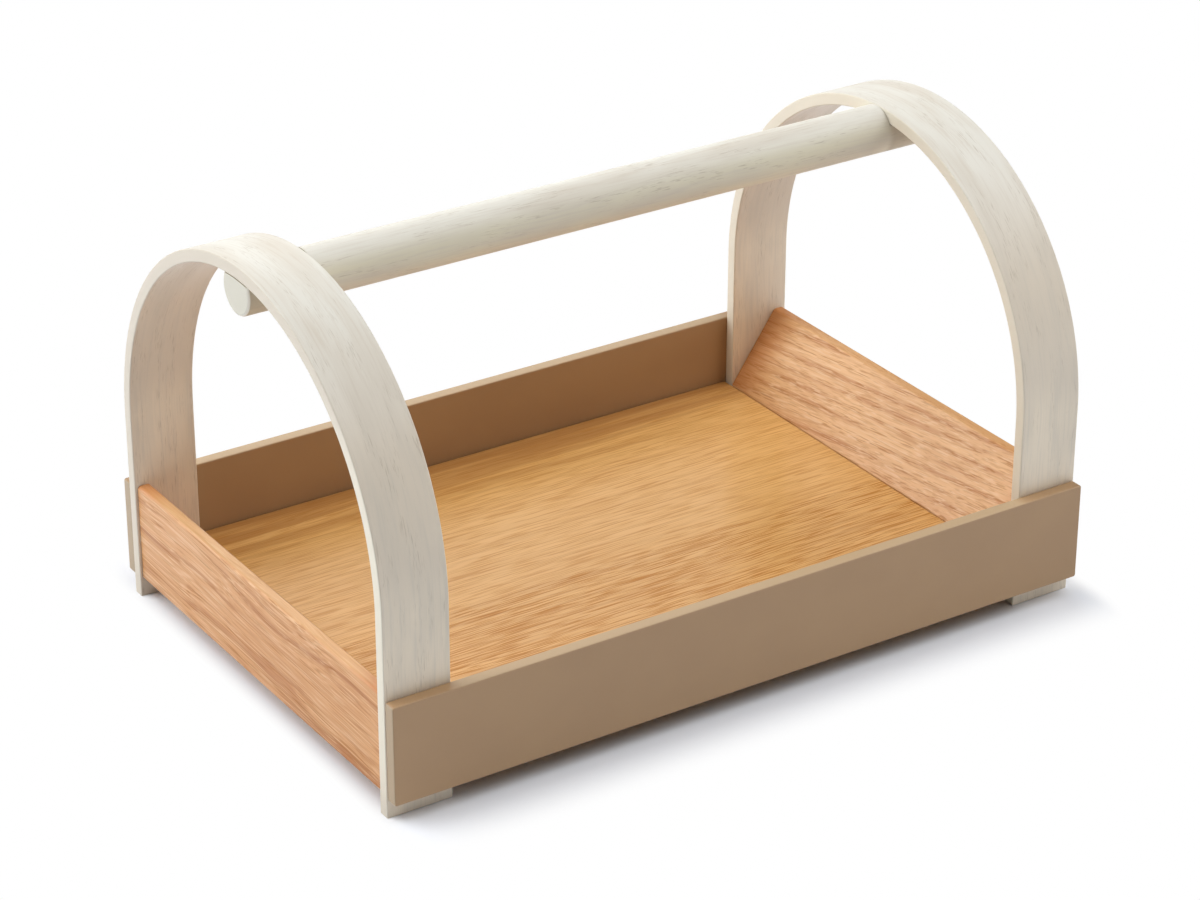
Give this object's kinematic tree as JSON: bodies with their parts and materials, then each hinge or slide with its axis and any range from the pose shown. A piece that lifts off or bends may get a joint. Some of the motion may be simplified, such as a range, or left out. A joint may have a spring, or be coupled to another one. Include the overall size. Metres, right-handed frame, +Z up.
{
  "type": "wooden tray",
  "caption": "Carrying tray with sloped oak ends, lacquered side boards and a round wooden handle held between bentwood arches that stand as feet.",
  "frame": {"origin": "middle of the footprint, on the surface that the feet stand on", "axes": "+X along the handle to the right, +Y from the front to the back, +Z up"},
  "size_m": [0.4, 0.2682, 0.229],
  "materials": {
    "whitewashed_bentwood": "thin matt white wash over laminated veneer, with the pores still showing",
    "whitewashed_dowel": "thin matt white wash over a turned hardwood dowel",
    "solid_oak": "matt oil on planed solid oak",
    "oak_veneer": "matt lacquer on oak veneer",
    "taupe_lacquer": "opaque matt lacquer on a thin board",
    "bare_beech": "bare turned beech"
  },
  "bodies": {
    "root": {"left_arch": "whitewashed_bentwood", "right_arch": "whitewashed_bentwood", "handle_dowel": "whitewashed_dowel", "front_side_board": "taupe_lacquer", "back_side_board": "taupe_lacquer", "left_end_board": "solid_oak", "right_end_board": "solid_oak", "bottom_panel": "oak_veneer", "left_handle_pin": "bare_beech", "right_handle_pin": "bare_beech", "front_left_lower_pin": "bare_beech", "front_left_upper_pin": "bare_beech", "back_left_lower_pin": "bare_beech", "back_left_upper_pin": "bare_beech", "front_right_lower_pin": "bare_beech", "front_right_upper_pin": "bare_beech", "back_right_lower_pin": "bare_beech", "back_right_upper_pin": "bare_beech"}
  },
  "joints": []
}
